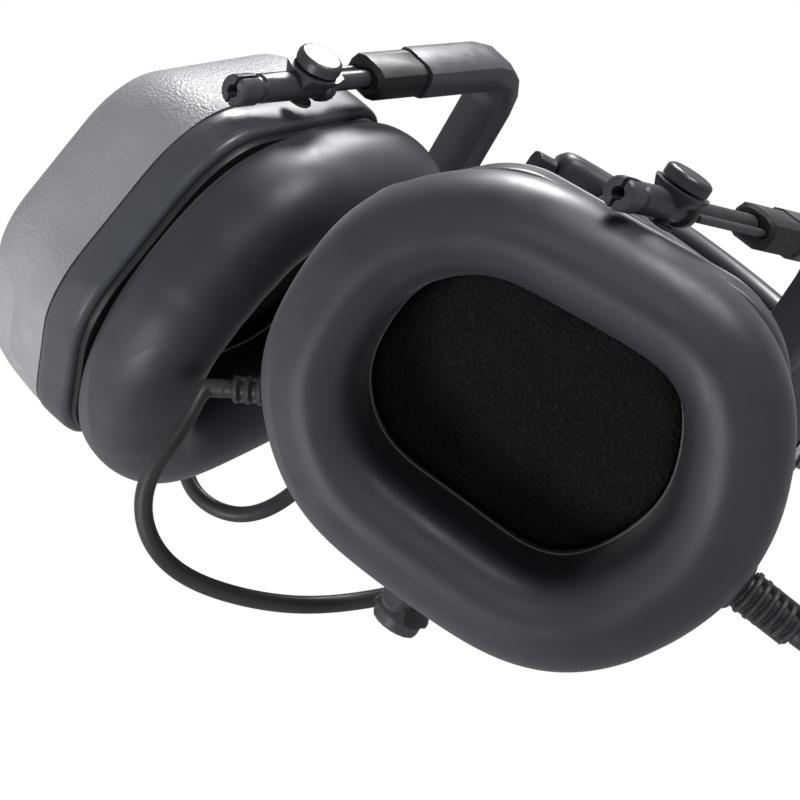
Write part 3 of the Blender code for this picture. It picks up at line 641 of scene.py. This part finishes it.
def build_cushion(side):
    """Puffed ring of smooth artificial leather, swollen by a pressure simulation."""
    profile = spline(((4.0, 6.5), (0.6, 9.0), (-0.9, 14.0), (-0.9, 19.0), (0.8, 24.0), (4.4, 28.0),
                      (9.0, 30.2), (13.0, 29.8), (17.0, 27.2), (19.4, 22.6), (20.2, 16.0),
                      (OPENING_INSET, SEAM_DEPTH), (OPENING_INSET, 6.6), (16.0, 6.5), (10.0, 6.5)),
                     2, closed=True)
    rings = [soft_ring(side, inset, depth, CUSHION_AROUND) for inset, depth in profile]
    data = loft(rings, closed=True)
    piece = finish_mesh(f"{side.name}_cushion_skin", data, None, LOOK["cushion"])
    pinned = []
    for row, (inset, depth) in enumerate(profile):
        if depth < PINNED_DEPTH:
            pinned += range(row * CUSHION_AROUND, (row + 1) * CUSHION_AROUND)
    inflate(piece, pinned)
    crease(piece, side)
    seam_row = profile.index(Vector((OPENING_INSET, SEAM_DEPTH)))
    seam_start = seam_row * CUSHION_AROUND
    wall = piece.data.vertices[seam_start:seam_start + CUSHION_AROUND]
    build_lining_seam(side, [vertex.co.copy() for vertex in wall])
    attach(piece, side.cup_body)
    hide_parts(f"{side.name}_cushion")
    smooth = piece.modifiers.new("smooth", "SUBSURF")
    smooth.levels = 1
    smooth.render_levels = 1


def crease(piece, side):
    """Soft folds in the leather where the ring bends at its lower corners."""
    fade_start, fade_end = FOLD_FADE
    for vertex in piece.data.vertices:
        offset = vertex.co - side.pivot
        depth = offset.dot(side.ear) / MM
        front = offset.dot(side.front) / MM
        up = offset.dot(side.up) / MM
        if depth < FOLD_START:
            continue
        across = 0.0
        angle = math.atan2(front, -up)
        for place, size in FOLDS[side.name]:
            distance = (angle - math.radians(place)) * math.hypot(front, up)
            distance += FOLD_WANDER * math.sin(depth * 0.16 + place)
            across += size * math.exp(-(distance / FOLD_WIDTH) ** 2)
        outward = (side.front * front + side.up * up).normalized()
        fade = max(0.0, min(1.0, (depth - fade_start) / (fade_end - fade_start)))
        vertex.co -= outward * across * FOLD_SHARE * fade * MM
    piece.data.update()


def build_foam(side):
    """Foam pad with a rounded edge and a dished face."""
    rings = []
    for inset, depth in ((20.8, 3.3), (20.8, 6.0), (21.6, 6.9), (23.5, 7.3), (26.0, FOAM_FACE)):
        rings.append(soft_ring(side, inset, depth, AROUND))
    face_edge = rings[-1]
    centre = side.cup(FOAM_FACE, 0.0, 0.0)
    for share, depth in ((0.85, 6.9), (0.65, 6.5), (0.4, 6.2), (0.15, 6.1), (0.02, 6.1)):
        sink = side.ear * (depth - FOAM_FACE) * MM
        rings.append([centre + (p - centre) * share + sink for p in face_edge])
    finish_mesh(f"{side.name}_foam_pad", loft(rings), side.cup_body, LOOK["foam"], [f"{side.name}_foam"])


def build_lining_seam(side, wall):
    """Raised seam round the ear opening, along a ring of the cushion's inner wall."""
    section = circle(SEAM_RADIUS * MM, 8)
    count = len(wall)
    centre = side.cup(0.0, 0.0, 0.0)
    rings = []
    for i, point in enumerate(wall):
        tangent = (wall[(i + 1) % count] - wall[i - 1]).normalized()
        across = tangent.cross(side.ear)
        inward = centre - point
        inward = (inward - side.ear * inward.dot(side.ear)).normalized()
        middle = point + inward * SEAM_STANDOFF * MM
        rings.append([middle + across * x + side.ear * y for x, y in section])
    finish_mesh(f"{side.name}_lining_seam", loft(rings, closed=True), side.cup_body, LOOK["thread"])


# ---------------------------------------------------------------- cables


def rib_boot(node, side, root, direction, radii, first, pitch, ribs, length):
    """Strain relief: a flange, rounded ribs that shrink, webs between them and a plain nose."""
    flange, core, rib = radii
    profile = [(flange - 0.4, 0.0), (flange, 0.5), (flange, first - 1.3), (flange - 0.6, first - 0.7),
               (core, first)]
    for i in range(ribs):
        shrink = 1.0 - 0.035 * i
        start = first + pitch * i
        profile += [(core * shrink, start + 0.24 * pitch), ((rib - 0.3) * shrink, start + 0.28 * pitch),
                    (rib * shrink, start + 0.38 * pitch), (rib * shrink, start + 0.66 * pitch),
                    ((rib - 0.3) * shrink, start + 0.76 * pitch), (core * shrink, start + 0.8 * pitch)]
    profile += [(core * 0.92, first + pitch * ribs + 0.3), (core * 0.9, length - 0.5), (core * 0.8, length)]
    data = turned(profile, root, direction, BOOT_STEPS)
    turn = Vector(direction).to_track_quat("Z", "Y").to_matrix()
    span = pitch * (ribs - 0.4)
    for sign in (1.0, -1.0):
        web = [(x, y + sign * (rib - 1.6)) for x, y in rounded_rectangle(1.5, 2.4, 0.4, 2)]
        rings = []
        for height in (first, first + span):
            rings.append([root + turn @ Vector((x, y, height)) * MM for x, y in web])
        loft(rings, data=data)
    piece = finish_mesh(f"{node}_ribs", data, side.cup_body, LOOK["rubber"], [node])
    piece.data.set_sharp_from_angle(angle=math.radians(38.0))


def build_link(side):
    """Ribbed boot and slack link cable, which runs from the cup to the arms."""
    root = side.cup(*LINK_BOOT_ROOT)
    direction = side.cup_direction(LINK_BOOT_DIRECTION)
    rib_boot(f"{side.name}_cable_boot", side, root, direction, radii=(3.4, 2.1, 3.2), first=3.6, pitch=2.6,
             ribs=3, length=LINK_BOOT_LENGTH)
    reaches = (-BOOT_OVERLAP, *LINK_LEAD_IN)
    lead_in = [root + direction * (LINK_BOOT_LENGTH + reach) * MM for reach in reaches]
    points = lead_in + [side.arm(*p) for p in LINK_POINTS[side.name]]
    path = relax(spline(points, 10), fixed=12, passes=60)
    radii = [LINK_RADIUS] * (len(path) - LINK_END_POINTS)
    radii += [LINK_RADIUS + LINK_END_SLEEVE] * (LINK_END_POINTS - 1) + [LINK_RADIUS + LINK_TIP_SLEEVE]
    piece = finish_mesh(f"{side.name}_link_cord", tube(path, radii, 20), None, LOOK["cable"])
    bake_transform(piece)
    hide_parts(f"{side.name}_link_cable")


def build_lead():
    """Radio cable with its large boot at the right cup's tip."""
    side = RIGHT
    root = side.cup(*LEAD_BOOT_ROOT)
    direction = side.cup_direction(LEAD_BOOT_DIRECTION)
    rib_boot("right_lead_boot", side, root, direction, radii=(6.2, 3.4, 5.1), first=3.0, pitch=2.4,
             ribs=6, length=LEAD_BOOT_LENGTH)
    start = root + direction * (LEAD_BOOT_LENGTH - BOOT_OVERLAP) * MM
    path = spline([start] + [side.cup(*p) for p in LEAD_POINTS], 10)
    finish_mesh("right_lead_cord", tube(path, LEAD_RADIUS, 22), side.cup_body, LOOK["cable"],
                ["right_lead_cable"])


# ---------------------------------------------------------------- headband


def band_point(angle, radius, front=0.0):
    """World point of the untwisted band at an angle from its top and a radius in millimetres."""
    return Vector((radius * math.sin(angle), radius * math.cos(angle) + BAND_CENTRE_Y, front)) * MM


def build_crown():
    """Padded cover and inner cushion of the headband, with stitched edges."""
    rings = puffed_sections(COVER_ANGLE, BAND_RADIUS, COVER_THICK, COVER_WIDTH, corner=3.9, steps=72,
                            end_reach=0.10)
    cover = finish_mesh("crown_cover_skin", loft(rings), "crown", LOOK["cushion"], ["crown_cover"])
    cover.data.set_sharp_from_angle(angle=math.radians(60.0))
    pad_radius = BAND_RADIUS - COVER_THICK / 2 - PAD_DROP
    rings = puffed_sections(PAD_ANGLE, pad_radius, PAD_THICK, PAD_WIDTH, corner=3.3, steps=60,
                            end_reach=0.16, channels=PAD_CHANNELS)
    finish_mesh("crown_pad_skin", loft(rings), "crown", LOOK["cushion"], ["crown_cushion"])
    stitch_radius = BAND_RADIUS + COVER_THICK / 2 + 0.02
    stitch_front = COVER_WIDTH / 2 - STITCH_EDGE
    stitch_row("crown_stitches_front", stitch_radius, stitch_front)
    stitch_row("crown_stitches_rear", stitch_radius, -stitch_front)


def puffed_sections(limit, radius, thick, width, corner, steps, end_reach, channels=0):
    """Sections of a soft pad: full in the middle, rounded off at the ends, with optional sewn channels."""
    rings = []
    for i in range(steps + 1):
        share = i / steps
        from_end = min(share, 1.0 - share) * 2.0
        ease = min(1.0, from_end / end_reach)
        round_off = math.sqrt(1.0 - (1.0 - ease) ** 2)
        full = 0.72 + 0.28 * round_off
        narrow = 0.90 + 0.10 * round_off
        if channels:
            wave = abs(math.sin(math.pi * share * channels))
            full *= 0.80 + 0.20 * wave ** 0.5
        section = rounded_rectangle(thick * full, width * narrow, corner * full, 6)
        angle = -limit + 2 * limit * share
        rings.append([band_point(angle, radius + x, y) for x, y in section])
    return rings


def stitch_row(name, radius, front):
    """A row of short threads along the band, half sunk in its cover."""
    data = bmesh.new()
    pitch = STITCH_PITCH / radius
    for i in range(int(2 * STITCH_ANGLE / pitch)):
        start = pitch * i - STITCH_ANGLE
        path = [band_point(start + pitch * t, radius + 0.16 * math.sin(math.pi * t / 0.7), front)
                for t in (0.0, 0.12, 0.35, 0.58, 0.7)]
        tube(path, [0.12, 0.26, 0.3, 0.26, 0.12], 8, data)
    finish_mesh(name, data, "crown", LOOK["thread"])


def build_band_bend(side):
    """Dark sleeve over the band where it bends; it runs from the crown to the side's band."""
    sign = -1.0 if side.name == "left" else 1.0
    hinge = Vector(JOINTS[f"{side.name}_band_flex"]["pos_m"])
    axes = Matrix((side.arm_out, side.arm_up, side.front)).transposed().to_quaternion()
    rings = []
    for i in range(BEND_STEPS + 1):
        t = i / BEND_STEPS
        angle = sign * (BEND_START + (BEND_END - BEND_START) * t)
        turn = Quaternion().slerp(axes, t * t * (3.0 - 2.0 * t))
        ends = 0.85 + 0.15 * min(1.0, min(t, 1.0 - t) / 0.12)
        ring = []
        for x, y in rounded_rectangle(3.4 * ends, 17.0 * ends, 1.3, 4):
            ring.append(hinge + turn @ (band_point(angle, BAND_RADIUS + x, y) - hinge))
        rings.append(ring)
    piece = finish_mesh(f"{side.name}_band_sleeve", loft(rings), None, LOOK["rubber"])
    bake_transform(piece)


# ---------------------------------------------------------------- all pieces


def build_side(side):
    """Pieces that both sides of the headset have."""
    name = side.name
    build_shell(side)
    build_trim(side)
    build_lip(side)
    build_cushion(side)
    build_foam(side)
    build_link(side)
    for place in ("front", "rear"):
        refine(f"{name}_{place}_arm", LOOK["arm"], 0.3)
        refine(f"{name}_{place}_pivot_cap", LOOK["arm"], 0.4)
        refine(f"{name}_{place}_sleeve", LOOK["black"], 0.4)
        refine(f"{name}_{place}_guide_wire", LOOK["arm"], 0.15)
    refine(f"{name}_yoke", LOOK["trim"], 0.5)
    refine(f"{name}_band_strip", LOOK["steel"], 0.2)
    refine(f"{name}_band_screw", LOOK["steel"], 0.2)
    refine(f"{name}_band_clip", LOOK["black"], 0.5)
    refine(f"{name}_outer_plate", LOOK["trim"], 0.3)
    build_band_bend(side)


def build_controls():
    """Moving controls and the plug."""
    refine("left_battery_cap", LOOK["black"], 0.3)
    refine("right_volume_knob", LOOK["black"], 0.2)
    refine("right_power_button", LOOK["rubber"], 0.3)
    refine("right_plug_body", LOOK["black"], 0.3)
    refine("right_plug_pin", LOOK["brass"], 0.1)


def paint_inner_nodes():
    """CAD nodes that stay as they are get their slot's finish."""
    for name, node in frame["nodes"].items():
        if not node.hide_render:
            node.data.materials.clear()
            node.data.materials.append(LOOK[NODE_SLOT[name]])


# ---------------------------------------------------------------- stage, light and camera

CAMERA_AZIMUTH = math.radians(26.0)
CAMERA_ELEVATION = math.radians(15.0)
CAMERA_ROLL = math.radians(33.0)
CAMERA_DISTANCE = 0.6
CAMERA_RIGHT_SHIFT = 0.026
CAMERA_UP_SHIFT = 0.005
SENSOR_WIDTH = 36.0
FOCAL_LENGTH = 135.0
AIM_DEPTH = 18.7
SKY_FILL = 0.2
FLOOR_FILL = 0.24
FLOOR_GAP = 0.004
FLOOR_REACH = 30.0


def camera_axes():
    """Right, up and back directions of the rolled camera."""
    azimuth, elevation, roll = CAMERA_AZIMUTH, CAMERA_ELEVATION, CAMERA_ROLL
    back = Vector((math.sin(azimuth) * math.cos(elevation), -math.cos(azimuth) * math.cos(elevation),
                   math.sin(elevation)))
    level_right = Vector((math.cos(azimuth), math.sin(azimuth), 0.0))
    level_up = back.cross(level_right)
    right = level_right * math.cos(roll) + level_up * math.sin(roll)
    up = -level_right * math.sin(roll) + level_up * math.cos(roll)
    return right, up, back


def build_camera():
    """Camera that looks just past a point in the right cushion; gives that point and the axes."""
    right, up, back = camera_axes()
    aim = RIGHT.pivot + RIGHT.ear * AIM_DEPTH * MM
    place = aim + back * CAMERA_DISTANCE - right * CAMERA_RIGHT_SHIFT + up * CAMERA_UP_SHIFT
    data = bpy.data.cameras.new("camera")
    data.sensor_width = SENSOR_WIDTH
    data.lens = FOCAL_LENGTH
    data.clip_start = 0.01
    camera = bpy.data.objects.new("camera", data)
    bpy.context.scene.collection.objects.link(camera)
    camera.matrix_world = Matrix((right, up, back)).transposed().to_4x4()
    camera.location = place
    bpy.context.scene.camera = camera
    return aim, right, up, back


def area_light(name, place, target, size, energy):
    """Square light turned towards a target."""
    data = bpy.data.lights.new(name, "AREA")
    data.shape = "SQUARE"
    data.size = size
    data.energy = energy
    light = bpy.data.objects.new(name, data)
    bpy.context.scene.collection.objects.link(light)
    light.location = place
    light.rotation_mode = "QUATERNION"
    light.rotation_quaternion = (target - place).to_track_quat("-Z", "Y")


def white_for_camera(tree, fill):
    """Strength that shows white to the camera and a dimmer fill to the object."""
    path = tree.nodes.new("ShaderNodeLightPath")
    strength = tree.nodes.new("ShaderNodeMapRange")
    strength.inputs["To Min"].default_value = fill
    strength.inputs["To Max"].default_value = 1.0
    tree.links.new(path.outputs["Is Camera Ray"], strength.inputs["Value"])
    return strength.outputs["Result"]


def build_stage():
    """Plain white floor and world."""
    world = bpy.data.worlds.new("studio")
    bpy.context.scene.world = world
    world.use_nodes = True
    sky = world.node_tree
    sky.nodes["Background"].inputs["Color"].default_value = (1.0, 1.0, 1.0, 1.0)
    sky.links.new(white_for_camera(sky, SKY_FILL), sky.nodes["Background"].inputs["Strength"])
    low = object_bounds()[0].z - FLOOR_GAP
    mesh = bpy.data.meshes.new("floor")
    corners = ((-1.0, -1.0), (1.0, -1.0), (1.0, 1.0), (-1.0, 1.0))
    mesh.from_pydata([(x * FLOOR_REACH, y * FLOOR_REACH, low) for x, y in corners], [], [(0, 1, 2, 3)])
    floor = bpy.data.objects.new("floor", mesh)
    bpy.context.scene.collection.objects.link(floor)
    material = bpy.data.materials.new("floor")
    material.use_nodes = True
    tree = material.node_tree
    tree.nodes.clear()
    output = tree.nodes.new("ShaderNodeOutputMaterial")
    glow = tree.nodes.new("ShaderNodeEmission")
    tree.links.new(white_for_camera(tree, FLOOR_FILL), glow.inputs["Strength"])
    tree.links.new(glow.outputs["Emission"], output.inputs["Surface"])
    mesh.materials.append(material)
    floor.visible_shadow = False


# Area lights: place in camera axes (right, up, back) from the aim point in metres, size and watts
LIGHTS = {
    "upper_right": ((0.58, 0.72, 0.25), 0.32, 4.6),
    "behind_top": ((0.22, 0.85, -0.50), 0.28, 9.0),
    "left": ((-0.90, 0.00, 0.00), 0.40, 1.5),
    "behind_left": ((-0.80, -0.33, -0.45), 0.40, 2.6),
    "low_left": ((-0.66, -0.45, 0.55), 0.28, 4.6),
    "low": ((0.05, -0.85, 0.35), 0.40, 1.4),
    "front": ((0.15, 0.30, 0.90), 0.35, 0.7),
}


def build_lights(aim, right, up, back):
    """Lights round the aim point, and plain colours in the picture."""
    for name, ((along_right, along_up, along_back), size, energy) in LIGHTS.items():
        place = aim + right * along_right + up * along_up + back * along_back
        area_light(name, place, aim, size, energy)
    bpy.context.scene.view_settings.view_transform = "Standard"


build_side(LEFT)
build_side(RIGHT)
build_lead()
build_crown()
build_controls()
paint_inner_nodes()
aim_point, view_right, view_up, view_back = build_camera()
build_stage()
build_lights(aim_point, view_right, view_up, view_back)
